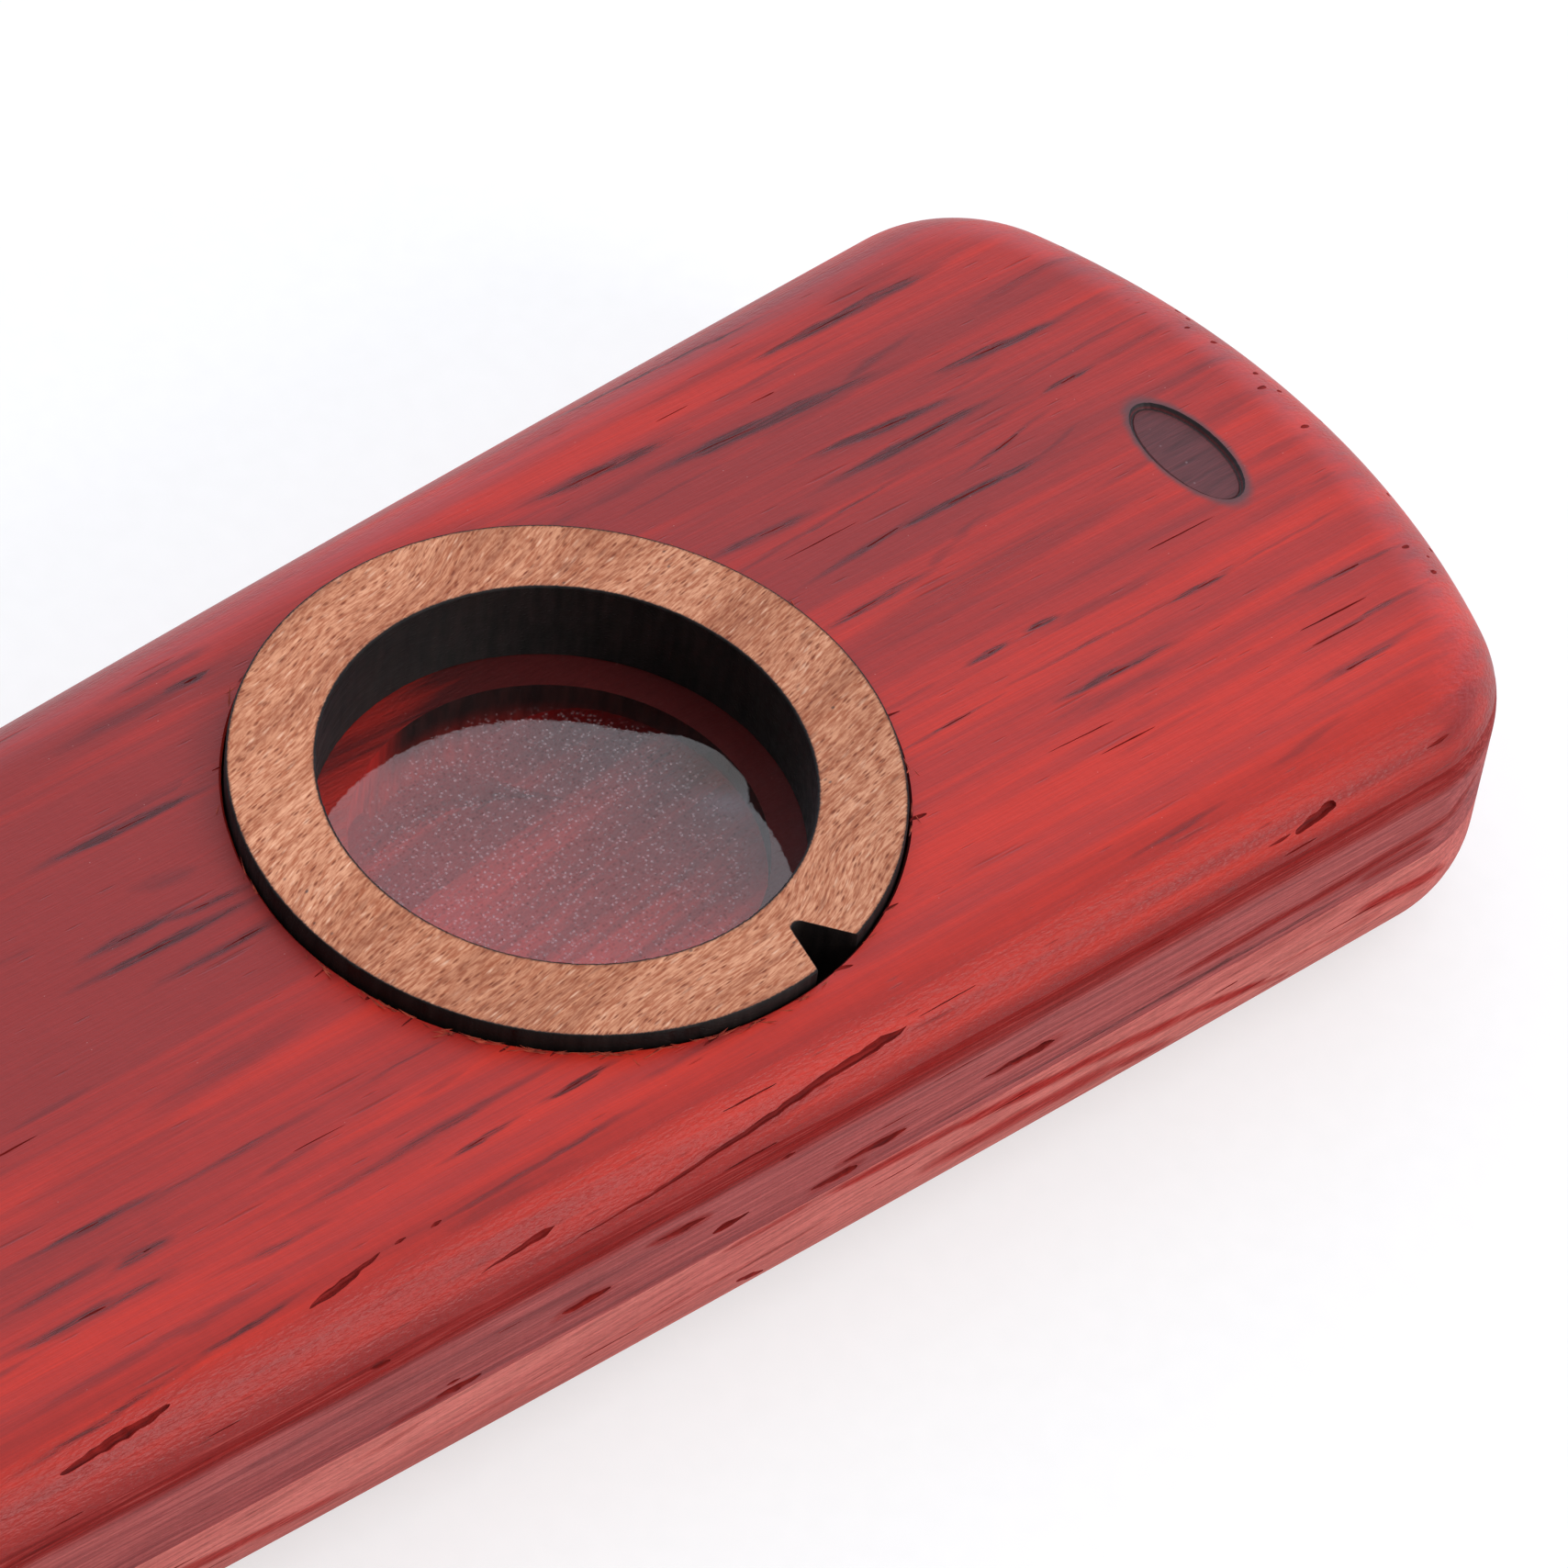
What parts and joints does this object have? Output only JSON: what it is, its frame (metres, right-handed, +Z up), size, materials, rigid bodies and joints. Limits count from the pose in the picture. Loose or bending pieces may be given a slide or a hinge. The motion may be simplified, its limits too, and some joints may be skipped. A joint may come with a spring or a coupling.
{
  "type": "kazoo",
  "caption": "Flat wooden kazoo: two glued boards with an air passage, a clear membrane under a lift-out wooden ring, and a bowed, rounded mouth end.",
  "frame": {"origin": "middle of the underside, at the centre of the bounding box", "axes": "+X along the body towards the wide, bowed mouth end, +Y across it, +Z up out of the membrane"},
  "size_m": [0.118, 0.0386, 0.0158],
  "materials": {
    "upper_board_wood": "satin red hardwood with dark streaks and open pores, waxed",
    "lower_board_wood": "satin red hardwood, a little paler and more orange than the upper board",
    "membrane_film": "clear glossy film",
    "ring_wood": "plain pale hardwood, unvarnished, with burnt black cut edges"
  },
  "bodies": {
    "body": {"lower_board": "lower_board_wood", "upper_board": "upper_board_wood"},
    "membrane": {"membrane": "membrane_film"},
    "ring": {"membrane_ring": "ring_wood"}
  },
  "joints": [
    {"name": "ring_lift", "type": "slide", "parent": "body", "child": "ring", "axis": [0, 0, 1], "range_m": [0, 0.02]},
    {"name": "membrane_lift", "type": "slide", "parent": "body", "child": "membrane", "axis": [0, 0, 1], "range_m": [0, 0.01]}
  ],
  "couplings": [
    {"joint": "membrane_lift", "follows": "ring_lift", "ratio": 0.5}
  ]
}
